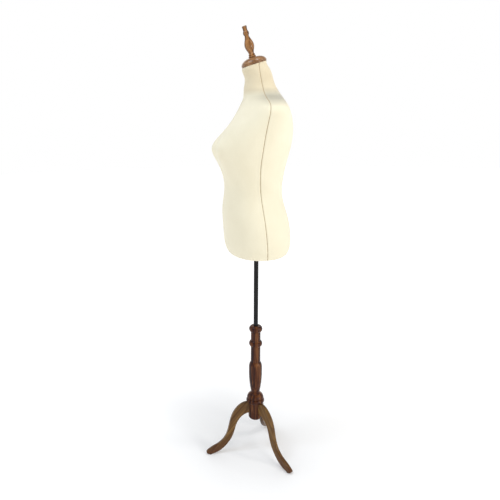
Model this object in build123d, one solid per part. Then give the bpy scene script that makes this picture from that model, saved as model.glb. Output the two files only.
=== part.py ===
from build123d import *

import os
from math import copysign, cos, exp, pi, radians, sin

# Dress form on a turned tripod stand, in millimetres. The origin is on the floor, under the
# centre of the column. +Z is up and the form faces -Y, the way the front leg points.

# Stand
column_foot_z = 144.0
column_top_z = 542.0
column_foot_radius = 26.5
column_foot_round = 12.0
shaft_radius = 19.2
bead_radius = 25.7
bead_half_height = 12.3
upper_bead_z = 529.5
lower_bead_z = 469.5
vase_radius = 25.6
vase_neck_radius = 16.6
ring_z = 225.0
ring_radius = 35.5
ring_half_height = 9.0

leg_thickness = 16.0
leg_edge_round = 4.0
leg_root = 22.0  # the flat inner end of a leg, seated in the column
leg_top_z = 219.0
leg_under_z = 173.0
leg_angles = {"leg_front": -90, "leg_left": 30, "leg_right": 150}
joint_gap = 0.1
seat_relief = 1.2  # head room over a leg's rounded shoulder where it tucks under the ring

glide_centre = 184.0
glide_radius = 8.0
glide_height = 3.0
nail_radius = 1.2
nail_length = 12.0

dowel_radius = 4.0
dowel_inner = 10.0
dowel_outer = 42.0
dowel_heights = (185.0, 207.0)

pole_radius = 8.6
pole_wall = 1.5
pole_bottom_z = 452.0
pole_top_z = 1020.0
fit_gap = 0.05
stud_radius = 6.0
stud_bottom_z = 414.0
stud_plug_length = 30.0
insert_radius = 9.0
insert_bottom_z = 412.0
insert_top_z = 450.0

# Form: stations from the hem to the top of the neck. Each one gives its height, its forward
# tilt in degrees, half the width, and the depth in front of and behind the pole's axis.
stations = (
    (838, 0, 138, 96, 90),
    (842, 0, 147, 103, 102),
    (854, 0, 153, 109, 110),
    (905, 0, 158, 117, 115),
    (965, 0, 150, 121, 107),
    (1015, 0, 132, 121, 93),
    (1066, 0, 118, 115, 85),
    (1120, 0, 126, 121, 90),
    (1165, 0, 138, 134, 99),
    (1213, 0, 150, 137, 111),
    (1265, 0, 160, 117, 116),
    (1310, 0, 171, 80, 108),
    (1345, 0, 166, 58, 95),
    (1366, 2, 128, 51, 86),
    (1390, 5, 76, 46, 74),
    (1420, 9, 54, 46, 57),
    (1450, 13, 48, 43.5, 48),
    (1470, 15, 44.5, 49.4, 36.8),
    (1488, 16.6, 41.5, 52.5, 30.5),
)
hem_z = stations[0][0]
shoulder_z = 1310.0
section_squareness = 2.2
section_points = 28
bust_depth = 24.0
bust_apart = 62.0
bust_z = 1213.0
bust_width = 44.0
bust_rise = 36.0
bust_drop = 44.0

# Side seam, as (y, z) from the hem to the neck; it parts the cover into a front and a back.
side_seam = (
    (4, 838),
    (-8, 980),
    (-22, 1150),
    (-12, 1250),
    (0, 1330),
    (9, 1365),
    (3, 1434),
    (-10, 1484),
)

cover_thickness = 1.0
shell_thickness = 3.0
shell_joint_z = 1090.0  # the shell's halves are each moulded in two lengths
board_thickness = 12.0
base_cloth_thickness = 2.0
neck_block_depth = 18.0

# Socket under the form, and the collar that carries it on the pole
flange_radius = 34.0
flange_thickness = 3.0
boss_radius = 15.0
boss_height = 11.0
tube_outer = 13.0
tube_inner = 10.0
tube_top_z = 900.0
bush_length = 12.0
bush_lip = 2.0
screw_circle = 26.0
screw_radius = 2.0
screw_length = 16.0
screw_head_radius = 4.0
screw_head_height = 2.4
washer_thickness = 2.0
collar_radius = 17.0
collar_height = 16.0
clamp_radius = 3.0
clamp_pad_radius = 2.6
clamp_pad_length = 2.0
knob_gap = 2.2
knob_radius = 9.5
knob_length = 11.0
knob_lobes = 6

# Neck cap and finial, measured along the leaning neck from the top of the neck
neck_y = (stations[-1][4] - stations[-1][3]) / 2
neck_z = stations[-1][0]
neck_tilt = stations[-1][1]
cap_radius = 43.4
cap_height = 24.0
finial_height = 101.5
finial_screw_radius = 3.0
finial_screw_bottom = -14.0
finial_screw_top = 58.0

boss_bottom_z = hem_z - flange_thickness - boss_height
washer_bottom_z = boss_bottom_z - washer_thickness
collar_bottom_z = washer_bottom_z - collar_height
clamp_z = collar_bottom_z + collar_height / 2


def cylinder(radius, bottom, top, hole=0.0):
    """An upright cylinder or tube on the pole's axis."""
    ring = Circle(radius) - Circle(hole) if hole else Circle(radius)
    return Pos(0, 0, bottom) * extrude(ring, top - bottom)


def turned(outline):
    """A solid of revolution about Z from a closed outline of edges in the XZ plane."""
    return revolve(make_face(outline), Axis.Z)


def on_neck(part):
    """Moves a part from the frame's origin to the top of the leaning neck."""
    return Pos(0, neck_y, neck_z) * Rot(neck_tilt, 0, 0) * part


# ---------------------------------------------------------------- stand


def ball(radius, half_height, z):
    """A turned bead's rounded side, as an edge from its lower to its upper end."""
    inner = shaft_radius - 0.5
    return ThreePointArc((inner, 0, z - half_height), (radius, 0, z), (inner, 0, z + half_height))


def column():
    inner = shaft_radius - 0.5
    foot = column_foot_radius
    bend = column_foot_round * (1 - sin(pi / 4))
    start = (foot - column_foot_round, 0, column_foot_z)
    corner = (foot - bend, 0, column_foot_z + bend)
    side = (foot, 0, column_foot_z + column_foot_round)
    ring_low = (foot, 0, ring_z - ring_half_height)
    ring_high = (foot + 4, 0, ring_z + ring_half_height)
    groove = (foot + 1, 0, ring_high[2] + 2.2)
    cushion = (foot + 6, 0, groove[2] + 1.6)
    vase_foot = (vase_neck_radius, 0, 263)
    vase_top = (shaft_radius, 0, 392)
    lower = ball(bead_radius, bead_half_height, lower_bead_z)
    upper = ball(bead_radius, bead_half_height, upper_bead_z)
    outline = [
        Line((0, 0, column_foot_z), start),
        ThreePointArc(start, corner, side),
        Line(side, ring_low),
        ThreePointArc(ring_low, (ring_radius, 0, ring_z), ring_high),
        Line(ring_high, groove),
        Line(groove, cushion),
        Spline(cushion, (31, 0, 245), (25.8, 0, 253), (19.5, 0, 259), vase_foot),
        Spline(
            vase_foot,
            (21.6, 0, 292),
            (24.8, 0, 322),
            (vase_radius, 0, 362),
            (23.4, 0, 384),
            vase_top,
        ),
        Line(vase_top, (inner, 0, 393)),
        Line((inner, 0, 393), lower @ 0),
        lower,
        Line(lower @ 1, upper @ 0),
        upper,
        Line(upper @ 1, (0, 0, (upper @ 1).Z)),
        Line((0, 0, (upper @ 1).Z), (0, 0, column_foot_z)),
    ]
    body = turned(outline)
    body -= cylinder(pole_radius + fit_gap, insert_top_z, column_top_z + 1)
    body -= cylinder(insert_radius + fit_gap, insert_bottom_z, insert_top_z)
    seat_height = leg_top_z - leg_under_z + joint_gap + seat_relief
    seat = Box(20, leg_thickness + 2 * joint_gap, seat_height, align=(Align.MIN, Align.CENTER, Align.MIN))
    for angle in leg_angles.values():
        body -= Rot(0, 0, angle) * Pos(leg_root, 0, leg_under_z - joint_gap) * seat
        body -= leg_dowels(angle, dowel_radius + fit_gap)
    return body


def leg_dowels(angle, radius):
    """The two dowels of one leg, as solids or, a little larger, as their holes."""
    length = dowel_outer - dowel_inner
    rod = Rot(0, 90, 0) * extrude(Circle(radius), length)
    return Compound([Rot(0, 0, angle) * Pos(dowel_inner, 0, z) * rod for z in dowel_heights])


def leg(angle):
    """A flat board sawn to an S, with rounded long edges and a flat under the toe."""
    top = (leg_root, 0, leg_top_z)
    under = (leg_root, 0, leg_under_z)
    edge = Spline(
        top,
        (48, 0, 217),
        (78, 0, 195),
        (97, 0, 162),
        (108, 0, 121),
        (121, 0, 79),
        (149, 0, 46),
        (176, 0, 31),
        (191, 0, 21),
        (200.5, 0, 9.5),
        (195, 0, 3),
        (178, 0, 2),
        (148, 0, 12.5),
        (117, 0, 39.5),
        (95, 0, 73),
        (83, 0, 108),
        (72, 0, 139),
        (54, 0, 161),
        under,
    )
    outline = make_face([edge, Line(under, top)])
    board = extrude(outline, leg_thickness / 2, dir=(0, 1, 0), both=True)
    long_edges = [e for e in board.edges() if abs(e.center().Y) > 1 and e.center().X > leg_root + 1]
    board = fillet(long_edges, leg_edge_round)
    board -= Pos(glide_centre, 0, 0) * Box(60, 30, 2 * glide_height)
    board -= Pos(glide_centre, 0, 0) * cylinder(nail_radius + fit_gap, 0, nail_length + 1)
    return Rot(0, 0, angle) * board - leg_dowels(angle, dowel_radius + fit_gap)


def glide(angle):
    """A nail-on furniture glide: a disc with softened edges and its nail."""
    disc = cylinder(glide_radius, 0, glide_height)
    disc = fillet(disc.edges().sort_by(Axis.Z)[0], 1.0)
    nail = cylinder(nail_radius, glide_height, nail_length)
    return Rot(0, 0, angle) * Pos(glide_centre, 0, 0) * (disc + nail)


def pole():
    return cylinder(pole_radius, pole_bottom_z, pole_top_z, pole_radius - pole_wall)


def pole_stud():
    plug = cylinder(pole_radius - pole_wall - fit_gap, pole_bottom_z, pole_bottom_z + stud_plug_length)
    return plug + cylinder(stud_radius, stud_bottom_z, pole_bottom_z)


def column_insert():
    return cylinder(insert_radius, insert_bottom_z, insert_top_z, stud_radius + fit_gap)


def pole_end_cap():
    plug = cylinder(pole_radius - pole_wall - fit_gap, pole_top_z - 14, pole_top_z)
    lid = cylinder(pole_radius, pole_top_z, pole_top_z + 2)
    return plug + fillet(lid.edges().sort_by(Axis.Z)[-1], 1.2)


# ---------------------------------------------------------------- form


def section(station, inset):
    """One closed section of the form, inset towards its axis."""
    z, tilt, half_width, front, back = station
    centre = (back - front) / 2
    depth = (back + front) / 2 - inset
    lean = radians(tilt)
    points = []
    for i in range(section_points):
        angle = 2 * pi * i / section_points
        power = 2 / section_squareness
        x = (half_width - inset) * copysign(abs(cos(angle)) ** power, cos(angle))
        reach = copysign(abs(sin(angle)) ** power, sin(angle))
        y = depth * reach - bust(x, z) * max(0.0, -reach) ** 0.6
        points.append((x, centre + y * cos(lean), z + y * sin(lean)))
    return make_face(Spline(points, periodic=True))


def bust(x, z):
    """How far the bust stands out from the plain section at this place."""
    fade = bust_rise if z > bust_z else bust_drop
    across = exp(-(((abs(x) - bust_apart) / bust_width) ** 2))
    return bust_depth * across * exp(-(((z - bust_z) / fade) ** 2))


def form_solid(inset):
    """The whole form's body from hem to neck, inset all round."""
    faces = []
    for z, tilt, half_width, front, back in stations:
        drop = inset if shoulder_z <= z < neck_z else 0.0
        faces.append(section((z - drop, tilt, half_width, front, back), inset))
    return loft(faces)


def front_of_seam():
    """Everything in front of the side seams, as a cutter."""
    seam = Spline([(0, y, z) for y, z in side_seam])
    low, high, front = hem_z - 20, neck_z + 60, -260
    foot = (0, side_seam[0][0], low)
    head = (0, side_seam[-1][0], high)
    outline = [
        Line(foot, seam @ 0),
        seam,
        Line(seam @ 1, head),
        Line(head, (0, front, high)),
        Line((0, front, high), (0, front, low)),
        Line((0, front, low), foot),
    ]
    return extrude(make_face(outline), 220, dir=(1, 0, 0), both=True)


def base_board():
    inset = cover_thickness + shell_thickness + 0.5
    board = extrude(section((hem_z + base_cloth_thickness, 0, 142.5, 99.5, 96), inset), board_thickness)
    board -= cylinder(tube_outer + joint_gap, hem_z - 1, hem_z + 20)
    return board - flange_screws(screw_radius + fit_gap)


def base_cloth():
    inset = cover_thickness + shell_thickness + 0.3
    cloth = extrude(section(stations[0], inset), base_cloth_thickness)
    cloth -= cylinder(tube_outer + joint_gap, hem_z - 1, hem_z + 20)
    return cloth - flange_screws(screw_radius + fit_gap)


def neck_block(inside):
    """A wooden plug that fills the top of the neck inside the shell."""
    slab = Pos(0, 0, -neck_block_depth) * extrude(Circle(80), neck_block_depth)
    block = inside & on_neck(slab)
    return block - finial_screw(finial_screw_radius + fit_gap)


def neck_cap():
    rim = ThreePointArc((cap_radius - 1.6, 0, 0), (cap_radius, 0, 3.6), (cap_radius - 0.6, 0, 8))
    crown = (12.5, 0, cap_height)
    dome = Spline(rim @ 1, (36, 0, 16.6), (25, 0, 21.8), crown)
    outline = [
        Line((0, 0, 0), rim @ 0),
        rim,
        dome,
        Line(crown, (0, 0, cap_height)),
        Line((0, 0, cap_height), (0, 0, 0)),
    ]
    return on_neck(turned(outline)) - finial_screw(finial_screw_radius + fit_gap)


def finial():
    """A turned knob: two rings, a long bulb, a slim stem, a bead and a flared top."""
    base = cap_height
    top = cap_height + finial_height
    collar = ThreePointArc((11.4, 0, base), (12.6, 0, base + 2.6), (11.2, 0, base + 5.2))
    ring = ThreePointArc((9.4, 0, base + 6.2), (10.9, 0, base + 8.8), (9.4, 0, base + 11.4))
    neck = (8.8, 0, base + 12.4)
    stem_end = (7.2, 0, base + 71)
    bead = ThreePointArc(stem_end, (10.0, 0, base + 78.5), (7.3, 0, base + 86))
    rim = (8.2, 0, top - 1.5)
    outline = [
        Line((0, 0, base), collar @ 0),
        collar,
        Line(collar @ 1, ring @ 0),
        ring,
        Line(ring @ 1, neck),
        Spline(
            neck,
            (9.9, 0, base + 18),
            (13.9, 0, base + 28),
            (16, 0, base + 40),
            (13.6, 0, base + 51),
            (9.2, 0, base + 62),
            stem_end,
        ),
        bead,
        Spline(bead @ 1, (7.2, 0, base + 90), rim),
        Line(rim, (7.2, 0, top)),
        Line((7.2, 0, top), (0, 0, top)),
        Line((0, 0, top), (0, 0, base)),
    ]
    return on_neck(turned(outline)) - finial_screw(finial_screw_radius + fit_gap)


def finial_screw(radius):
    """The double-ended screw that clamps the cap between the finial and the neck block."""
    return on_neck(cylinder(radius, finial_screw_bottom, finial_screw_top))


# ---------------------------------------------------------------- socket and collar


def socket_flange():
    body = cylinder(flange_radius, hem_z - flange_thickness, hem_z)
    body += cylinder(boss_radius, boss_bottom_z, hem_z - flange_thickness)
    body += cylinder(tube_outer, hem_z, tube_top_z)
    body -= cylinder(tube_inner, boss_bottom_z - 1, tube_top_z + 1)
    return body - flange_screws(screw_radius + fit_gap)


def flange_screws(radius):
    """The four screws that hold the socket to the base board, or their holes."""
    plate = hem_z - flange_thickness
    screw = cylinder(radius, plate, plate + screw_length)
    if radius == screw_radius:
        head = cylinder(screw_head_radius, plate - screw_head_height, plate)
        head = fillet(head.edges().sort_by(Axis.Z)[0], 1.2)
        slot = Pos(0, 0, plate - screw_head_height) * Box(1.2, 5.6, 1.6)
        cross = Pos(0, 0, plate - screw_head_height) * Box(5.6, 1.2, 1.6)
        screw = screw + head - slot - cross
    places = PolarLocations(screw_circle, 4, start_angle=45)
    return Compound([place * screw for place in places])


def guide_bush(bottom, lip):
    """A plain bearing in the socket tube; the upper one has a lip on the tube's end."""
    body = cylinder(tube_inner - fit_gap, bottom, bottom + bush_length, pole_radius + fit_gap)
    if lip:
        end = bottom + bush_length
        body += cylinder(tube_outer, end, end + bush_lip, pole_radius + fit_gap)
    return body


def swivel_washer():
    return cylinder(boss_radius, washer_bottom_z, boss_bottom_z, pole_radius + 0.4)


def height_collar():
    body = cylinder(collar_radius, collar_bottom_z, washer_bottom_z, pole_radius + fit_gap)
    rims = body.edges().filter_by(GeomType.CIRCLE).group_by(SortBy.RADIUS)[-1]
    body = chamfer(rims, 1.0)
    return body - across(clamp_radius + fit_gap, 0, collar_radius + 1)


def across(radius, start, end):
    """A rod from the pole's axis towards the back, at the clamping screw's height."""
    return Pos(0, start, clamp_z) * Rot(-90, 0, 0) * extrude(Circle(radius), end - start)


def clamp_pad():
    start = pole_radius + fit_gap
    return across(clamp_pad_radius, start, start + clamp_pad_length)


def thumb_screw():
    """A lobed plastic knob moulded on the clamping screw."""
    tip = pole_radius + fit_gap + clamp_pad_length
    knob_start = collar_radius + knob_gap
    plan = Circle(knob_radius)
    for place in PolarLocations(knob_radius + 1.2, knob_lobes):
        plan -= place * Circle(2.4)
    knob = extrude(plan, knob_length)
    rims = knob.faces().filter_by(Axis.Z).edges()
    knob = chamfer(rims, 0.8)
    knob = Pos(0, knob_start, clamp_z) * Rot(-90, 0, 0) * knob
    return across(clamp_radius, tip, knob_start) + knob


def build():
    shell_outside = form_solid(cover_thickness)
    shell_inside = form_solid(cover_thickness + shell_thickness)
    shell = shell_outside - shell_inside
    cover = form_solid(0) - shell_outside
    in_front = front_of_seam()
    shell_front = shell & in_front
    shell_back = shell - in_front
    above_waist = Pos(0, 0, shell_joint_z) * Box(500, 500, 500, align=(Align.CENTER, Align.CENTER, Align.MIN))
    parts = {
        "column": column(),
        "leg_dowels": Compound([d for a in leg_angles.values() for d in leg_dowels(a, dowel_radius).solids()]),
        "pole": pole(),
        "pole_stud": pole_stud(),
        "column_insert": column_insert(),
        "pole_end_cap": pole_end_cap(),
        "shell_front_upper": shell_front & above_waist,
        "shell_front_lower": shell_front - above_waist,
        "shell_back_upper": shell_back & above_waist,
        "shell_back_lower": shell_back - above_waist,
        "cover_front": cover & in_front,
        "cover_back": cover - in_front,
        "base_board": base_board(),
        "base_cloth": base_cloth(),
        "neck_block": neck_block(form_solid(cover_thickness + shell_thickness + joint_gap)),
        "neck_cap": neck_cap(),
        "finial": finial(),
        "finial_screw": finial_screw(finial_screw_radius),
        "socket_flange": socket_flange(),
        "flange_screws": flange_screws(screw_radius),
        "guide_bush_lower": guide_bush(boss_bottom_z, lip=False),
        "guide_bush_upper": guide_bush(tube_top_z - bush_length, lip=True),
        "swivel_washer": swivel_washer(),
        "height_collar": height_collar(),
        "clamp_pad": clamp_pad(),
        "thumb_screw": thumb_screw(),
    }
    for name, angle in leg_angles.items():
        parts[name] = leg(angle)
        parts[name.replace("leg", "glide")] = glide(angle)
    return parts


os.makedirs("parts", exist_ok=True)
for name, part in build().items():
    part.label = name
    export_step(part, f"parts/{name}.step")
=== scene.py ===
"""Looks of a dress form on a turned wooden stand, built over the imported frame. Lengths are in metres."""

import math

import bpy
import numpy as np
from mathutils import Matrix, Vector, noise
from mathutils.bvhtree import BVHTree


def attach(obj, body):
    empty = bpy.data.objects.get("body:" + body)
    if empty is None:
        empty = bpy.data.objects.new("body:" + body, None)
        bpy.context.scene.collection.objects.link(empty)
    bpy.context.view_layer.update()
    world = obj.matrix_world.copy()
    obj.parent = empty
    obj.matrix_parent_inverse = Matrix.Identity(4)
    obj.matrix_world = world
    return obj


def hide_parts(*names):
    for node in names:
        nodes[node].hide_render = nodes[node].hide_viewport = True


MM = 0.001
CAMERA_AZIMUTH = math.radians(76)

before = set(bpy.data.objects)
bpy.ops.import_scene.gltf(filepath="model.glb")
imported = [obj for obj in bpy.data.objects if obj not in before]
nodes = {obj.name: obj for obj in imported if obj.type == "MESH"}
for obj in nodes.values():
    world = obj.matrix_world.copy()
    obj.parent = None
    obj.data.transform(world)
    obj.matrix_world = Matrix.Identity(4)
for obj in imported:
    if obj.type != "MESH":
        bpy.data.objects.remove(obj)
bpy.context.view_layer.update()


# ---------------------------------------------------------------- the form's outline

HEM_Z = 0.8384
NECK_Z = 1.4876
BASE_Z = 0.838
WAIST_Z = 1.075
UNDER_NECK_Z = 1.315
BUST_SPAN = (1.12, 1.29)

# Tables by height: the rows' tilt in degrees, the y of the form's middle, and the y of its side seam.
LEAN = ((1.345, 0), (1.366, 2), (1.39, 5), (1.42, 9), (1.45, 13), (1.488, 16.6))
CENTRE = ((0.838, 0.0), (1.3, 0.0), (1.36, 0.015), (1.42, 0.006), (1.488, -0.011))
SIDE_SEAM = (
    (0.838, 0.004),
    (0.98, -0.008),
    (1.15, -0.022),
    (1.25, -0.012),
    (1.33, 0.0),
    (1.365, 0.009),
    (1.434, 0.003),
    (1.484, -0.01),
)
RAY_START = 0.4
ROW_STEP = 3.2 * MM
HEIGHT_SAMPLES = 420
OUTLINE_POINTS = 360
PANEL_COLUMNS = 140

# Distances of the first columns from a side seam, in millimetres.
SEAM_COLUMNS = (0, 0.5, 1.0, 1.5, 2.1, 2.8, 3.7, 4.8, 6.2, 8, 10.5)


def table(pairs, value):
    """Straight-line interpolation in a short table of (where, what)."""
    return float(np.interp(value, [p[0] for p in pairs], [p[1] for p in pairs]))


def smooth_table(pairs, values, samples=400, reach=12, passes=6):
    """The same through a softened line, for the side seam."""
    where = np.linspace(pairs[0][0], pairs[-1][0], samples)
    line = np.interp(where, [p[0] for p in pairs], [p[1] for p in pairs])
    width = 2 * reach + 1
    for _ in range(passes):
        line = np.convolve(np.pad(line, reach, mode="edge"), np.ones(width) / width, mode="valid")
    return np.interp(values, where, line)


def run_along(line):
    """How far each point of a line is from the first one, measured along it."""
    steps = np.linalg.norm(np.diff(line, axis=0), axis=1)
    return np.concatenate([[0], np.cumsum(steps)])


def read_at(at, run, line):
    """A line's points, or vectors that go with them, at some distances along it."""
    return np.stack([np.interp(at, run, line[:, k]) for k in range(3)], axis=1)


def surface_tree(*names):
    """A tree to cast rays at, from some CAD nodes."""
    points = []
    faces = []
    for name in names:
        mesh = nodes[name].data
        base = len(points)
        points += [v.co.copy() for v in mesh.vertices]
        faces += [[base + i for i in p.vertices] for p in mesh.polygons]
    return BVHTree.FromPolygons(points, faces)


def outline(tree, z, angles):
    """Where rays towards the form's middle line meet it, in the plane that leans with the neck."""
    lean = math.radians(table(LEAN, z))
    centre = Vector((0, table(CENTRE, z), z))
    back = Vector((0, math.cos(lean), math.sin(lean)))
    side = Vector((1, 0, 0))
    found = []
    for a in angles:
        way = side * math.sin(a) - back * math.cos(a)
        hit = tree.ray_cast(centre + way * RAY_START, -way)[0]
        found.append(hit if hit is not None else found[-1])
    return np.array([tuple(p) for p in found])


def row_heights(tree):
    """Heights for the rows, evenly apart as measured on the surface."""
    z = np.linspace(HEM_Z, NECK_Z, HEIGHT_SAMPLES)
    ends = np.array([outline(tree, h, (0, math.pi / 2, math.pi)) for h in z])
    steps = np.linalg.norm(np.diff(ends, axis=0), axis=2).max(axis=1)
    run = np.concatenate([[0], np.cumsum(steps)])
    count = int(run[-1] / ROW_STEP)
    return np.interp(np.linspace(0, run[-1], count), run, z)


def crossing(away):
    """The fractional index where an outline's distance behind the side seam passes zero."""
    i = int(np.argmax(away > 0))
    return i - 1 + away[i - 1] / (away[i - 1] - away[i])


def resample(points, columns):
    """One half of a row, as points at set distances from both seams and evenly between."""
    run = run_along(points)
    near = np.array(SEAM_COLUMNS) * MM
    middle = np.linspace(near[-1], run[-1] - near[-1], columns - 2 * len(near) + 2)
    at = np.concatenate([near, middle[1:-1], run[-1] - near[::-1]])
    return read_at(at, run, points), at


def between(points, first, last):
    """The stretch of an outline between two fractional indices."""
    index = np.arange(len(points))
    at = np.concatenate([[first], index[(index > first) & (index < last)], [last]])
    return read_at(at, index, points)


def panel_grids(tree):
    """Front and back grids of points on the CAD cover, and how far along its row each point is."""
    half = OUTLINE_POINTS // 2
    right = np.linspace(0, math.pi, half + 1)
    front = []
    back = []
    front_run = []
    back_run = []
    for z in row_heights(tree):
        sides = [outline(tree, z, right), outline(tree, z, -right)]
        cuts = [crossing(s[:, 1] - smooth_table(SIDE_SEAM, s[:, 2])) for s in sides]
        ahead = [between(s, 0, c) for s, c in zip(sides, cuts)]
        behind = [between(s, c, half) for s, c in zip(sides, cuts)]
        row, run = resample(np.concatenate([ahead[1][::-1], ahead[0][1:]]), PANEL_COLUMNS)
        front.append(row)
        front_run.append(run)
        row, run = resample(np.concatenate([behind[0], behind[1][::-1][1:]]), PANEL_COLUMNS)
        back.append(row)
        back_run.append(run)
    return (np.array(front), np.array(front_run)), (np.array(back), np.array(back_run))


def soften(field, passes):
    """A field on a grid, averaged with its neighbours."""
    for _ in range(passes):
        wide = np.pad(field, 1, mode="edge")
        field = (2 * field + wide[2:, 1:-1] + wide[:-2, 1:-1] + wide[1:-1, 2:] + wide[1:-1, :-2]) / 6
    return field


def bridged(grid, share=0.1, passes=30, slack=0.4 * MM):
    """The front panel as tight cloth: it spans a share of the hollow between the two bust points."""
    gap = np.zeros(grid.shape[:2])
    middle = grid.shape[1] // 2
    for r, row in enumerate(grid):
        if not BUST_SPAN[0] < row[middle, 2] < BUST_SPAN[1]:
            continue
        left = int(np.argmin(row[:middle, 1]))
        right = middle + int(np.argmin(row[middle:, 1]))
        x = row[left : right + 1, 0]
        line = np.interp(x, [x[0], x[-1]], [row[left, 1], row[right, 1]])
        gap[r, left : right + 1] = np.maximum(0, row[left : right + 1, 1] - line)
    held = np.minimum(soften(gap, passes), gap + slack)
    spread = np.array(grid)
    spread[:, :, 1] -= share * held
    return spread


def grid_normals(grid):
    """Unit vectors square to a grid's surface, pointing out of the form."""
    along = np.gradient(grid, axis=1)
    up = np.gradient(grid, axis=0)
    out = np.cross(along, up)
    out /= np.maximum(np.linalg.norm(out, axis=2, keepdims=True), 1e-12)
    centre = grid.mean(axis=1, keepdims=True)
    facing = np.sum(out * (grid - centre), axis=2).mean()
    return out if facing > 0 else -out


# How far each thing moves the jersey off the form, in millimetres, and the waves it has in a metre.
STAND_OFF = 0.35
SLACK = 0.22
WAIST_DRAG = 0.30
NECK_DRAG = 0.16
PUCKER = 0.34
ROLL = 0.42
GROOVE = 0.95
SLACK_WAVES = 13
DRAG_WAVES = (9, 75)
PUCKER_WAVES = (95, 40)


def hump(distance, width):
    """A smooth bump: 1 at no distance, and falling off over a width."""
    return math.exp(-((distance / width) ** 2))


def cloth_relief(grid, run, seed):
    """How far the jersey stands off the form: slack, drag lines, and rolled, puckered seams."""
    rows, columns = grid.shape[:2]
    relief = np.full((rows, columns), STAND_OFF * MM)
    height = run_along(grid[:, 0])
    around, upward = DRAG_WAVES
    for r in range(rows):
        z = grid[r, columns // 2, 2]
        waist = hump(z - WAIST_Z, 0.05)
        under = hump(z - UNDER_NECK_Z, 0.035)
        length = run[r, -1]
        for c in range(columns):
            p = Vector(grid[r, c])
            slack = noise.noise(p * SLACK_WAVES + Vector((seed, 0, 0)))
            drag = noise.noise(Vector((p.x * around, p.y * around + seed, p.z * upward)))
            edge = min(run[r, c], length - run[r, c])
            side = seed + (3 if run[r, c] > edge else 7)
            tug = noise.noise(Vector((height[r] * PUCKER_WAVES[0], side, edge * PUCKER_WAVES[1])))
            pull = math.exp(-edge / 0.011)
            groove = hump(edge, 2.0 * MM)
            roll = hump(edge - 5.2 * MM, 2.6 * MM)
            relief[r, c] += MM * (
                SLACK * slack
                + (WAIST_DRAG * waist + NECK_DRAG * under) * drag
                + PUCKER * pull * tug
                + ROLL * roll
                - GROOVE * groove
            )
    return relief


def new_piece(name, points, faces):
    """An object from points and faces, smooth-shaded and in the scene."""
    mesh = bpy.data.meshes.new(name)
    mesh.from_pydata(points, [], faces)
    for face in mesh.polygons:
        face.use_smooth = True
    mesh.update()
    piece = bpy.data.objects.new(name, mesh)
    bpy.context.scene.collection.objects.link(piece)
    return piece


def grid_piece(name, grid, u, v):
    """An object of four-sided faces from a grid of points, with its UVs in metres of cloth."""
    rows, columns = grid.shape[:2]
    points = [tuple(p) for p in grid.reshape(-1, 3)]
    faces = []
    for r in range(rows - 1):
        for c in range(columns - 1):
            i = r * columns + c
            faces.append((i, i + 1, i + columns + 1, i + columns))
    piece = new_piece(name, points, faces)
    layer = piece.data.uv_layers.new(name="cloth")
    across = u.reshape(-1)
    upward = v.reshape(-1)
    for loop in piece.data.loops:
        i = loop.vertex_index
        layer.data[loop.index].uv = (across[i], upward[i])
    return piece


# The turned hem from its cut edge outward: how far inward and down each row lies, in millimetres.
HEM_FOLD = ((10.5, 0.55), (10.2, 0.95), (7, 0.95), (3.5, 0.9), (1, 0.75))

# The top edge below the cap: the share of the way to the middle that its two rows go, and their rise.
BRIM = (0.03, 0.09)
BRIM_RISE = 0.3 * MM


def turned_in(grid, run):
    """The grid with its hem turned under the form and its top edge turned in below the cap."""
    foot = grid[0]
    middle = np.array([0, 0, foot[:, 2].mean()])
    inward = middle - foot
    inward /= np.linalg.norm(inward, axis=1, keepdims=True)
    hem = []
    for step, drop in HEM_FOLD:
        row = foot + inward * step * MM
        row[:, 2] = BASE_Z - drop * MM
        hem.append(row)
    top = grid[-1]
    centre = top.mean(axis=0)
    brim = [top + (centre - top) * k + np.array([0, 0, BRIM_RISE]) for k in BRIM]
    whole = np.concatenate([np.array(hem), grid, np.array(brim)])
    below = np.repeat(run[:1], len(hem), axis=0)
    above = np.repeat(run[-1:], len(brim), axis=0)
    return whole, np.concatenate([below, run, above])


def cover_panel(name, grid, run, seed):
    """One half of the jersey cover, on the form."""
    grid = grid + grid_normals(grid) * cloth_relief(grid, run, seed)[:, :, None]
    grid, run = turned_in(grid, run)
    height = run_along(grid[:, grid.shape[1] // 2])
    v = np.repeat(height[:, None], grid.shape[1], axis=1)
    u = run - run[:, -1:] / 2
    return grid_piece(name, grid, u, v)


# ---------------------------------------------------------------- threads

STITCH_RINGS = 5
STITCH_SIDES = 6
LADDER_STEP = 2.9 * MM
WHIP_STEP = 5.2 * MM
THREAD_RADIUS = 0.24 * MM
WHIP_RADIUS = 0.26 * MM
CORD_STEP = 1.1 * MM
CORD_TWIST = 4.4 * MM
CORD_REACH = 1.8 * MM


def thread(points, faces, a, b, out, radius, lift):
    """One stitch: a short bar of thread from a to b that rises along out at its middle."""
    along = (b - a) / max(np.linalg.norm(b - a), 1e-9)
    side = np.cross(along, out)
    base = len(points)
    last = STITCH_RINGS - 1
    for k in range(STITCH_RINGS):
        t = k / last
        centre = a + (b - a) * t + out * lift * math.sin(math.pi * t)
        thick = radius * (0.72 if k in (0, last) else 1.0)
        for j in range(STITCH_SIDES):
            turn = 2 * math.pi * j / STITCH_SIDES
            points.append(tuple(centre + thick * (side * math.cos(turn) + out * math.sin(turn))))
    for k in range(last):
        low = base + STITCH_SIDES * k
        high = low + STITCH_SIDES
        for j in range(STITCH_SIDES):
            after = (j + 1) % STITCH_SIDES
            faces.append((low + j, low + after, high + after, high + j))
    faces.append(tuple(base + j for j in reversed(range(STITCH_SIDES))))
    faces.append(tuple(base + STITCH_SIDES * last + j for j in range(STITCH_SIDES)))


def evenly(line, step):
    """Points and tangents at even distances along a line of points."""
    run = run_along(line)
    at = np.arange(step, run[-1] - step, step)
    spots = read_at(at, run, line)
    way = read_at(at + step / 2, run, line) - spots
    return spots, way / np.linalg.norm(way, axis=1, keepdims=True)


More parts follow.
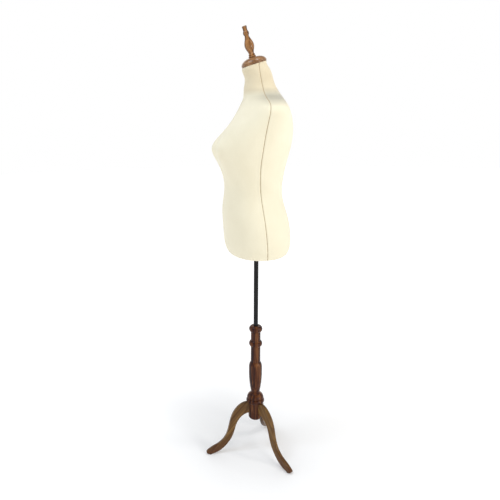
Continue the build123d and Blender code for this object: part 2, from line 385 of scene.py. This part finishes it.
def side_seam_stitches(name, grid, column):
    """Ladder stitches that close a side seam, lying in its groove."""
    normals = grid_normals(grid)[4:-3, column]
    line = grid[4:-3, column] - normals * 0.42 * MM
    points = []
    faces = []
    for spot, way in zip(*evenly(line, LADDER_STEP)):
        out = normals[int(np.argmin(np.linalg.norm(line - spot, axis=1)))]
        side = np.cross(way, out)
        reach = side * 1.6 * MM + way * 0.55 * MM
        thread(points, faces, spot - reach, spot + reach, out, THREAD_RADIUS, 0.1 * MM)
    return new_piece(name, points, faces)


def seam_cord(name, grid, column, strands=9):
    """The drawn-in edge of the cloth along a side seam: a fine twisted ridge in its groove."""
    line = grid[1:, column]
    out = grid_normals(grid)[1:, column]
    way = np.gradient(line, axis=0)
    way /= np.linalg.norm(way, axis=1, keepdims=True)
    side = np.cross(way, out)
    run = run_along(line)
    steps = np.arange(0, run[-1], CORD_STEP)
    middle, normal, across = (read_at(steps, run, field) for field in (line, out, side))
    lines = []
    for t in np.linspace(-1, 1, strands):
        twist = np.sin(2 * math.pi * (steps / CORD_TWIST + 0.5 * t))
        rise = (-0.5 + 0.42 * (1 - t * t) + 0.09 * twist) * MM
        lines.append(middle + across * t * CORD_REACH + normal * rise[:, None])
    cord = np.array(lines).transpose(1, 0, 2)
    u = np.repeat(np.linspace(0, 3 * MM, strands)[None], len(steps), axis=0)
    return grid_piece(name, cord, u, np.repeat(steps[:, None], strands, axis=1))


def hem_stitches(name, line):
    """Slanted stitches that join the turned hem to the base cloth."""
    down = np.array([0, 0, -1.0])
    rise = np.array([0, 0, 0.45 * MM])
    points = []
    faces = []
    for spot, way in zip(*evenly(line, WHIP_STEP)):
        inward = np.array([-spot[0], -spot[1], 0])
        inward /= np.linalg.norm(inward)
        start = np.array([spot[0], spot[1], BASE_Z - 1.05 * MM])
        end = start + inward * 3.6 * MM + way * 1.5 * MM + rise
        thread(points, faces, start, end, down, WHIP_RADIUS, 0.25 * MM)
    return new_piece(name, points, faces)


# ---------------------------------------------------------------- base cloth

BASE_RINGS = 34
FLANGE_RADIUS = 16.5 * MM


def base_panel(name, rim):
    """The woven cloth under the form, from inside the turned hem to the socket flange."""
    closed = np.concatenate([rim, rim[:1]])
    rings = []
    radii = np.linalg.norm(closed[:, :2], axis=1)
    for t in np.linspace(0, 1, BASE_RINGS):
        ring = np.array(closed)
        scale = (1 - t) + t * FLANGE_RADIUS / radii
        ring[:, :2] *= scale[:, None]
        ring[:, 2] = BASE_Z - 0.35 * MM
        edge = math.exp(-t / 0.05)
        for k in range(len(ring)):
            p = Vector((ring[k, 0] * 32, ring[k, 1] * 32, 0.3))
            ring[k, 2] += MM * (0.16 * noise.noise(p) - 0.12 * edge * math.sin(k * 0.61))
        ring[-1] = ring[0]
        rings.append(ring)
    grid = np.array(rings)[::-1]
    return grid_piece(name, grid, grid[:, :, 0], grid[:, :, 1])


# ---------------------------------------------------------------- materials


class Graph:
    """A short way to write a material's nodes."""

    def __init__(self, name):
        self.material = bpy.data.materials.new(name)
        self.material.use_nodes = True
        self.tree = self.material.node_tree
        self.shader = self.tree.nodes["Principled BSDF"]
        coordinates = self.tree.nodes.new("ShaderNodeTexCoord")
        self.place = coordinates.outputs["Object"]
        self.uv = coordinates.outputs["UV"]

    def put(self, socket, value):
        """Links an output to a socket, or sets the socket's own value."""
        if isinstance(value, bpy.types.NodeSocket):
            self.tree.links.new(value, socket)
        else:
            socket.default_value = value

    def add(self, kind, **inputs):
        node = self.tree.nodes.new("ShaderNode" + kind)
        for key, value in inputs.items():
            self.put(node.inputs[key.replace("_", " ")], value)
        return node

    def math(self, operation, a, b=0.0):
        node = self.tree.nodes.new("ShaderNodeMath")
        node.operation = operation
        self.put(node.inputs[0], a)
        self.put(node.inputs[1], b)
        return node.outputs[0]

    def mapped(self, source, scale, turn=(0, 0, 0)):
        """Coordinates turned so that the grain's way is Z, then scaled."""
        turned = self.add("Mapping", Vector=source, Rotation=turn).outputs[0]
        return self.add("Mapping", Vector=turned, Scale=scale).outputs[0]

    def noise(self, at, scale, detail=3.0, roughness=0.5, distortion=0.0):
        node = self.add("TexNoise", Vector=at, Scale=scale, Detail=detail, Roughness=roughness)
        self.put(node.inputs["Distortion"], distortion)
        return node.outputs["Fac"]

    def ramp(self, fac, *stops):
        """A colour ramp from (position, colour) stops."""
        node = self.tree.nodes.new("ShaderNodeValToRGB")
        self.put(node.inputs[0], fac)
        bands = node.color_ramp.elements
        while len(bands) < len(stops):
            bands.new(0.5)
        for band, (position, colour) in zip(bands, stops):
            band.position = position
            band.color = (*colour, 1)
        return node.outputs[0]

    def span(self, value, low, high, to_low, to_high):
        node = self.add("MapRange")
        for k, v in enumerate((value, low, high, to_low, to_high)):
            self.put(node.inputs[k], v)
        return node.outputs[0]

    def mix(self, fac, a, b, way="MIX"):
        node = self.tree.nodes.new("ShaderNodeMix")
        node.data_type = "RGBA"
        node.blend_type = way
        self.put(node.inputs[0], fac)
        self.put(node.inputs[6], a)
        self.put(node.inputs[7], b)
        return node.outputs[2]

    def bump(self, height, strength, distance, under=None):
        node = self.add("Bump", Height=height, Strength=strength, Distance=distance)
        if under is not None:
            self.put(node.inputs["Normal"], under)
        return node.outputs[0]

    def finish(self, colour, roughness, normal=None, **uniform):
        """Feeds the shader. Values that are the same all over go on its own sockets."""
        self.put(self.shader.inputs["Base Color"], colour)
        self.put(self.shader.inputs["Roughness"], roughness)
        if normal is not None:
            self.put(self.shader.inputs["Normal"], normal)
        for key, value in uniform.items():
            self.put(self.shader.inputs[key.replace("_", " ")], value)
        return self.material


WALE_WIDTH = 1.15 * MM
COURSE_HEIGHT = 0.85 * MM
YARN_SPACING = 1.3 * MM


def jersey():
    """Cream cotton jersey: fine knit, soft fuzz, uneven dye, painted shade on the neck, and a painted
    shadow where the neck meets the shoulders at the back.
    """
    g = Graph("cream_jersey")
    parts = g.add("SeparateXYZ", Vector=g.uv)
    across = g.math("MULTIPLY", parts.outputs[0], 1 / WALE_WIDTH)
    upward = g.math("MULTIPLY", parts.outputs[1], 1 / COURSE_HEIGHT)
    chevron = g.math("ABSOLUTE", g.math("SUBTRACT", g.math("FRACT", upward), 0.5))
    slant = g.math("ADD", across, g.math("MULTIPLY", chevron, 0.55))
    wale = g.math("SINE", g.math("MULTIPLY", slant, 2 * math.pi))
    loop = g.math("SINE", g.math("MULTIPLY", upward, 2 * math.pi))
    knit = g.math("ADD", g.math("MULTIPLY", wale, 0.5), g.math("MULTIPLY", loop, 0.22))
    fuzz = g.noise(g.place, 900, 4, 0.65)
    dye = g.noise(g.place, 7, 4, 0.55, 0.4)
    streak = g.noise(g.mapped(g.uv, (420, 9, 1)), 1, 3, 0.6)
    tone = g.ramp(dye, (0.3, (0.755, 0.695, 0.525)), (0.7, (0.810, 0.757, 0.590)))
    yarn = g.ramp(g.span(knit, -0.7, 0.7, 0, 1), (0.0, (0.86, 0.84, 0.80)), (0.75, (1, 1, 1)))
    tone = g.mix(0.55, tone, yarn, "MULTIPLY")
    tone = g.mix(g.span(streak, 0.35, 0.75, 0, 0.10), tone, (0.74, 0.67, 0.50, 1))
    tone = g.mix(g.span(fuzz, 0.45, 0.8, 0, 0.16), tone, (0.93, 0.90, 0.78, 1))
    at = g.add("SeparateXYZ", Vector=g.place)
    # Painted shade: above about 1.385 m the neck is darkened towards a dull beige, unevenly with the dye.
    on_neck = g.span(at.outputs[2], 1.385, 1.402, 0.0, 1.0)
    painted_neck_shade = g.math("MULTIPLY", on_neck, g.span(dye, 0.2, 0.8, 0.6, 0.9))
    tone = g.mix(painted_neck_shade, tone, (0.60, 0.51, 0.35, 1))
    # Painted shadow: a dark band between about 1.345 m and 1.412 m, towards the back, where the neck meets
    # the shoulders.
    rise = g.span(at.outputs[2], 1.345, 1.372, 0.0, 1.0)
    fall = g.span(at.outputs[2], 1.382, 1.412, 1.0, 0.0)
    behind = g.span(at.outputs[1], -0.055, 0.015, 0.0, 0.9)
    uneven = g.math("MULTIPLY", behind, g.span(dye, 0.2, 0.8, 0.7, 1.0))
    painted_shoulder_shadow = g.math("MULTIPLY", g.math("MULTIPLY", rise, fall), uneven)
    tone = g.mix(painted_shoulder_shadow, tone, (0.29, 0.27, 0.21, 1))
    normal = g.bump(knit, 0.30, 0.12 * MM)
    normal = g.bump(fuzz, 0.22, 0.15 * MM, normal)
    return g.finish(
        tone,
        g.span(fuzz, 0.2, 0.8, 0.78, 0.92),
        normal,
        Specular_IOR_Level=0.22,
        Sheen_Weight=0.22,
        Sheen_Roughness=0.45,
        Sheen_Tint=(1, 0.98, 0.94, 1),
    )


def sewing_thread(name, dark, light):
    """Twisted thread: fine slanted ply and a dull lustre."""
    g = Graph(name)
    ply = g.noise(g.mapped(g.place, (1, 1, 0.4), (0.5, 0.3, 0)), 5200, 2)
    patch = g.noise(g.place, 60, 3)
    tone = g.ramp(ply, (0.35, dark), (0.65, light))
    tone = g.mix(g.span(patch, 0.3, 0.7, 0, 0.4), tone, (*light, 1))
    normal = g.bump(ply, 0.4, 0.06 * MM)
    return g.finish(tone, g.span(ply, 0.3, 0.7, 0.6, 0.8), normal, Specular_IOR_Level=0.3)


def canvas():
    """Plain-woven base cloth in an unbleached shade."""
    g = Graph("base_canvas")
    parts = g.add("SeparateXYZ", Vector=g.uv)
    warp = g.math("SINE", g.math("MULTIPLY", parts.outputs[0], 2 * math.pi / YARN_SPACING))
    weft = g.math("SINE", g.math("MULTIPLY", parts.outputs[1], 2 * math.pi / YARN_SPACING))
    weave = g.math("MULTIPLY", warp, weft)
    slub = g.noise(g.mapped(g.uv, (40, 900, 1)), 1, 3, 0.6)
    soil = g.noise(g.place, 24, 5, 0.6, 0.6)
    tone = g.ramp(soil, (0.3, (0.60, 0.545, 0.42)), (0.75, (0.72, 0.665, 0.53)))
    tone = g.mix(g.span(weave, -1, 1, 0.28, 0.0), tone, (0.42, 0.37, 0.27, 1))
    tone = g.mix(g.span(slub, 0.5, 0.8, 0, 0.3), tone, (0.80, 0.76, 0.64, 1))
    normal = g.bump(weave, 0.5, 0.2 * MM)
    return g.finish(tone, g.span(soil, 0.2, 0.8, 0.82, 0.95), normal, Specular_IOR_Level=0.2)


def wood(name, shades, turn=(0, 0, 0), spin=0.0, gloss=(0.24, 0.38), coat=0.35, worn=None, **more):
    """Stained, lacquered wood.

    spin about Z and then turn bring the grain's way onto Z. worn is the colour of scuffs near the floor.
    """
    g = Graph(name)
    g.place = g.add("Mapping", Vector=g.place, Rotation=(0, 0, spin)).outputs[0]
    grain = g.mapped(g.place, (1, 1, 0.07), turn)
    broad = g.noise(grain, 85, 4, 0.5, 0.6)
    figure = g.noise(g.mapped(g.place, (1, 0.5, 0.035), turn), 26, 3, 0.5, 2.2)
    bands = g.math("FRACT", g.math("MULTIPLY", figure, 9))
    pores = g.noise(g.mapped(g.place, (1, 1, 0.022), turn), 1500, 3, 0.7)
    dark, middle, light = shades
    tone = g.ramp(broad, (0.36, dark), (0.5, middle), (0.66, light))
    tone = g.mix(g.span(bands, 0.1, 1.0, 0.0, 0.42), tone, (*dark, 1))
    tone = g.mix(g.span(pores, 0.56, 0.72, 0.0, 0.42), tone, (*[0.45 * c for c in dark], 1))
    rub = g.noise(g.place, 85, 6, 0.7, 0.5)
    if worn is not None:
        height = g.add("SeparateXYZ", Vector=g.place).outputs[2]
        low = g.span(height, 0.02, 0.085, 1.0, 0.05)
        scuff = g.math("MULTIPLY", g.span(rub, 0.30, 0.62, 0.25, 0.85), low)
        tone = g.mix(scuff, tone, (*worn, 1))
    smear = g.noise(g.place, 16, 4, 0.6)
    rough = g.math("ADD", g.span(smear, 0.3, 0.7, *gloss), g.span(pores, 0.55, 0.75, 0.0, 0.12))
    relief = g.math("ADD", g.math("MULTIPLY", pores, 0.6), g.math("MULTIPLY", broad, 0.4))
    normal = g.bump(relief, 0.20, 0.22 * MM)
    return g.finish(tone, rough, normal, Coat_Weight=coat, Coat_Roughness=0.16, **more)


def metal(name, colour, streak, rough, grain, metallic=1.0, bump=0.08, **more):
    """Drawn, turned or plated metal: fine lines along Z, cloudy roughness and small marks."""
    g = Graph(name)
    lines = g.noise(g.mapped(g.place, (1, 1, 0.02)), grain, 3, 0.6)
    cloud = g.noise(g.place, 30, 5, 0.6, 0.3)
    marks = g.noise(g.place, 240, 6, 0.75, 0.2)
    tone = g.ramp(cloud, (0.3, colour), (0.75, streak))
    tone = g.mix(g.span(marks, 0.60, 0.74, 0, 0.35), tone, (*streak, 1))
    dull = g.math("ADD", g.span(cloud, 0.3, 0.7, *rough), g.span(lines, 0.3, 0.7, -0.03, 0.06))
    normal = g.bump(lines, bump, 0.08 * MM)
    return g.finish(tone, dull, normal, Metallic=metallic, **more)


def moulded(name, dark, light, rough):
    """Moulded plastic: a fine spark-eroded texture with rubbed high spots."""
    g = Graph(name)
    pebble = g.noise(g.place, 1700, 2, 0.5)
    patch = g.noise(g.place, 45, 5, 0.6)
    tone = g.ramp(patch, (0.3, dark), (0.75, light))
    tone = g.mix(g.span(pebble, 0.5, 0.75, 0, 0.35), tone, (*light, 1))
    normal = g.bump(pebble, 0.25, 0.1 * MM)
    return g.finish(tone, g.span(patch, 0.3, 0.7, *rough), normal, Specular_IOR_Level=0.35)


def pulp(name, dark, light):
    """Pressed paper pulp or sawn board, where it shows under the form."""
    g = Graph(name)
    fibre = g.noise(g.mapped(g.place, (1, 0.3, 1)), 420, 5, 0.7, 0.6)
    patch = g.noise(g.place, 22, 4, 0.6)
    tone = g.ramp(patch, (0.3, dark), (0.7, light))
    tone = g.mix(g.span(fibre, 0.35, 0.7, 0, 0.7), tone, (*light, 1))
    normal = g.bump(fibre, 0.4, 0.25 * MM)
    return g.finish(tone, g.span(fibre, 0.3, 0.7, 0.7, 0.92), normal, Specular_IOR_Level=0.25)


def floor_paint():
    """Pale studio floor, faintly uneven, with painted light: a glow that grows away from the stand, so the
    floor is dimmer near it.
    """
    g = Graph("studio_floor")
    patch = g.noise(g.place, 1.3, 3, 0.5)
    away = g.tree.nodes.new("ShaderNodeVectorMath")
    away.operation = "LENGTH"
    g.put(away.inputs[0], g.place)
    glow = g.span(away.outputs["Value"], 0.15, 1.2, 0.0, 1.0)
    return g.finish(
        g.ramp(patch, (0.3, (0.80, 0.80, 0.80)), (0.7, (0.82, 0.82, 0.82))),
        g.span(patch, 0.3, 0.7, 0.8, 0.9),
        Specular_IOR_Level=0.1,
        # Painted light: the floor glows, weakly near the stand and strongly far from it.
        Emission_Color=g.ramp(glow, (0.0, (0.175, 0.172, 0.170)), (1.0, (0.62, 0.62, 0.62))),
        Emission_Strength=1.0,
    )


def paint(names, material):
    """Gives some CAD nodes one material in every slot."""
    for name in names:
        slots = nodes[name].data.materials
        if len(slots) == 0:
            slots.append(material)
        for k in range(len(slots)):
            slots[k] = material
        for holder in nodes[name].material_slots:
            holder.material = material


# ---------------------------------------------------------------- camera, light and floor


def make_camera(distance, height, azimuth, pitch, yaw, roll, lens, shift):
    """The camera, at an azimuth that is 0 when it looks along +Y, then turned by pitch, yaw and roll."""
    right = Vector((math.cos(yaw), -math.sin(yaw), 0))
    ahead = Vector((math.sin(yaw) * math.cos(pitch), math.cos(yaw) * math.cos(pitch), -math.sin(pitch)))
    up = right.cross(ahead)
    side = right * math.cos(roll) + up * math.sin(roll)
    top = up * math.cos(roll) - right * math.sin(roll)
    turn = Matrix((side, top, -ahead)).transposed().to_4x4()
    data = bpy.data.cameras.new("camera")
    data.sensor_width = 36
    data.lens = lens
    data.shift_x, data.shift_y = shift
    data.clip_start = 0.05
    camera = bpy.data.objects.new("camera", data)
    swing = Matrix.Rotation(azimuth, 4, "Z")
    camera.matrix_world = swing @ Matrix.Translation((0, -distance, height)) @ turn
    bpy.context.scene.collection.objects.link(camera)
    bpy.context.scene.camera = camera


def make_light(name, at, towards, size, power, colour=(1, 1, 1)):
    """A rectangular softbox that faces a point, its power in watts."""
    data = bpy.data.lights.new(name, "AREA")
    data.shape = "RECTANGLE"
    data.size, data.size_y = size
    data.energy = power
    data.color = colour
    light = bpy.data.objects.new(name, data)
    light.location = at
    light.rotation_euler = (Vector(towards) - Vector(at)).to_track_quat("-Z", "Y").to_euler()
    bpy.context.scene.collection.objects.link(light)


def set_range(node, low, high, to_low, to_high):
    """The four ends of a Map Range node."""
    for k, value in enumerate((low, high, to_low, to_high), start=1):
        node.inputs[k].default_value = value


FLOOR_RADIUS = 14
FLOOR_SIDES = 64


def make_floor():
    """A wide round floor at the stand's foot."""
    turns = [2 * math.pi * k / FLOOR_SIDES for k in range(FLOOR_SIDES)]
    ring = [(FLOOR_RADIUS * math.cos(t), FLOOR_RADIUS * math.sin(t), 0) for t in turns]
    mesh = bpy.data.meshes.new("floor")
    mesh.from_pydata(ring, [], [tuple(range(FLOOR_SIDES))])
    floor = bpy.data.objects.new("floor", mesh)
    mesh.materials.append(floor_paint())
    bpy.context.scene.collection.objects.link(floor)


def make_surroundings():
    """White surroundings, dimmer overhead and a little dimmer behind the camera."""
    world = bpy.data.worlds.new("studio")
    bpy.context.scene.world = world
    world.use_nodes = True
    tree = world.node_tree
    sky = tree.nodes.new("ShaderNodeTexCoord").outputs["Generated"]
    parts = tree.nodes.new("ShaderNodeSeparateXYZ")
    tree.links.new(sky, parts.inputs[0])
    overhead = tree.nodes.new("ShaderNodeMapRange")
    overhead.interpolation_type = "SMOOTHSTEP"
    tree.links.new(parts.outputs[2], overhead.inputs[0])
    set_range(overhead, 0.35, 0.85, 1.0, 0.3)
    ahead = tree.nodes.new("ShaderNodeVectorMath")
    ahead.operation = "DOT_PRODUCT"
    tree.links.new(sky, ahead.inputs[0])
    ahead.inputs[1].default_value = (-math.sin(CAMERA_AZIMUTH), math.cos(CAMERA_AZIMUTH), 0)
    around = tree.nodes.new("ShaderNodeMapRange")
    around.interpolation_type = "SMOOTHSTEP"
    tree.links.new(ahead.outputs["Value"], around.inputs[0])
    set_range(around, -0.7, 0.45, 0.86, 1.0)
    product = tree.nodes.new("ShaderNodeMath")
    product.operation = "MULTIPLY"
    tree.links.new(overhead.outputs[0], product.inputs[0])
    tree.links.new(around.outputs[0], product.inputs[1])
    tree.links.new(product.outputs[0], tree.nodes["Background"].inputs["Strength"])
    tree.nodes["Background"].inputs["Color"].default_value = (1, 1, 1, 1)


def make_lights():
    """Softboxes: a low key from the form's back, a high fill on each side of it, and one overhead."""
    make_light("key", (2.5, 2.0, 1.25), (0, 0, 1.1), (0.9, 0.9), 26, (1, 0.985, 0.955))
    make_light("back_fill", (0.7, 1.9, 3.3), (0, 0, 0.8), (0.5, 0.5), 13, (1, 0.985, 0.96))
    make_light("front_fill", (0.4, -1.5, 3.4), (0, 0, 1.3), (1.0, 1.0), 29, (0.76, 0.87, 1))
    make_light("overhead", (0.6, 0.2, 3.2), (0, 0, 0.2), (0.4, 0.9), 15)


# ---------------------------------------------------------------- putting it together

HEM_INSET = 9 * MM

SHELL = [n for n in nodes if "shell" in n]


def dress_form():
    """The two jersey panels, their seams, and the cloth under the hem."""
    tree = surface_tree("cover_front", "cover_back")
    (front, front_run), (back, back_run) = panel_grids(tree)
    knit = jersey()
    seam_thread = sewing_thread("seam_thread", (0.30, 0.22, 0.13), (0.48, 0.38, 0.25))
    front = bridged(front)
    panels = []
    halves = (("jersey_front", front, front_run, 11), ("jersey_back", back, back_run, 29))
    for name, grid, run, seed in halves:
        panel = cover_panel(name, grid, run, seed)
        panel.data.materials.append(knit)
        panels.append(panel)
    seams = []
    for side, column in (("left", -1), ("right", 0)):
        seams.append(side_seam_stitches("seam_stitches_" + side, front, column))
        seams.append(seam_cord("seam_cord_" + side, front, column))
    rim = np.concatenate([front[0], back[0][1:-1]])
    inward = -rim / np.linalg.norm(rim[:, :2], axis=1, keepdims=True)
    inward[:, 2] = 0
    rim = rim + inward * HEM_INSET
    base = base_panel("base_panel", rim)
    base.data.materials.append(canvas())
    whip = hem_stitches("hem_stitches", np.concatenate([rim, rim[:1]]))
    for piece in (*seams, whip):
        piece.data.materials.append(seam_thread)
    for piece in (*panels, base, *seams, whip):
        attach(piece, "form")
    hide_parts("cover_front")
    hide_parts("cover_back")
    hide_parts("base_cloth")


# The grain's way: the turn of the column's figure, the slope of the legs and finial, and the cap's.
# The column's spin turns a dark streak of its real grain to face the camera, where it serves as a painted
# dark reflection down the column's middle.
COLUMN_SPIN = math.radians(200)
LEG_SLOPE = math.radians(37.7)
FINIAL_LEAN = math.radians(-16.6)
CAP_GRAIN = math.radians(90)


def turned_wood():
    """Materials for the stand's wood, the cap, the finial and the hidden plain wood."""
    mahogany = ((0.015, 0.003, 0.003), (0.068, 0.017, 0.005), (0.185, 0.066, 0.018))
    walnut = ((0.078, 0.034, 0.008), (0.150, 0.076, 0.020), (0.235, 0.130, 0.040))
    # The next shades are a darker copy of the walnut: painted shade for the third leg, leg_right.
    painted_shade_walnut = ((0.050, 0.025, 0.009), (0.098, 0.052, 0.018), (0.155, 0.090, 0.034))
    chestnut = ((0.100, 0.040, 0.014), (0.240, 0.118, 0.048), (0.390, 0.215, 0.098))
    honey = ((0.058, 0.018, 0.004), (0.205, 0.084, 0.019), (0.420, 0.200, 0.064))
    low_shine = {"Specular_IOR_Level": 0.12}
    soft_shine = {"Specular_IOR_Level": 0.2}
    paint(["column"], wood("column_wood", mahogany, spin=COLUMN_SPIN, coat=0.10, **low_shine))
    # leg_right takes the darker walnut copy, which is painted shade.
    legs = {"leg_front": (-90, walnut), "leg_left": (30, walnut), "leg_right": (150, painted_shade_walnut)}
    for name, (angle, shades) in legs.items():
        spin = math.radians(-angle)
        scuffs = (0.075, 0.024, 0.012)
        slope = (0, LEG_SLOPE, 0)
        paint([name], wood(name + "_wood", shades, slope, spin, coat=0.2, worn=scuffs, **low_shine))
    paint(["neck_cap"], wood("cap_wood", chestnut, (CAP_GRAIN, 0, 0), coat=0.3, **soft_shine))
    paint(["finial"], wood("finial_wood", honey, (FINIAL_LEAN, 0, 0), coat=0.25, **soft_shine))
    paint(["leg_dowels", "neck_block"], wood("plain_wood", honey, coat=0.0, gloss=(0.6, 0.75)))


def fittings():
    """Materials for the pole, the metal and plastic fittings, and the boards inside the form."""
    ink = (0.008, 0.008, 0.009)
    soot = (0.014, 0.014, 0.015)
    black = metal("black_steel", ink, soot, (0.20, 0.30), 1400, 0.0, Specular_IOR_Level=0.12)
    paint(["pole"], black)
    steel = metal("bright_steel", (0.42, 0.42, 0.43), (0.56, 0.56, 0.57), (0.26, 0.42), 1600)
    paint(["pole_stud", "finial_screw", "column_insert"], steel)
    zinc = metal("zinc_plate", (0.46, 0.47, 0.50), (0.62, 0.62, 0.60), (0.30, 0.48), 900, bump=0.15)
    paint(["socket_flange", "flange_screws", "height_collar"], zinc)
    brass = metal("brass_plate", (0.50, 0.35, 0.13), (0.66, 0.49, 0.22), (0.25, 0.4), 1200)
    paint(["clamp_pad"], brass)
    plastic = moulded("black_moulding", (0.012, 0.012, 0.013), (0.030, 0.030, 0.031), (0.40, 0.55))
    paint(["thumb_screw", "pole_end_cap"], plastic)
    nylon = moulded("nylon_moulding", (0.55, 0.53, 0.48), (0.66, 0.64, 0.58), (0.42, 0.58))
    paint(["swivel_washer", "guide_bush_lower", "guide_bush_upper"], nylon)
    glide = moulded("glide", (0.05, 0.045, 0.04), (0.09, 0.08, 0.07), (0.5, 0.65))
    paint(["glide_front", "glide_left", "glide_right"], glide)
    paint(SHELL, pulp("pulp_shell", (0.30, 0.25, 0.18), (0.42, 0.37, 0.28)))
    paint(["base_board"], pulp("sawn_board", (0.40, 0.29, 0.17), (0.55, 0.42, 0.27)))


make_camera(
    distance=1.77701,
    height=1.29134,
    azimuth=CAMERA_AZIMUTH,
    pitch=0.243432,
    yaw=-0.100970,
    roll=-0.017419,
    lens=35.528,
    shift=(0.0844, -0.0041),
)
make_floor()
make_surroundings()
make_lights()
bpy.context.scene.view_settings.view_transform = "Standard"
turned_wood()
fittings()
dress_form()
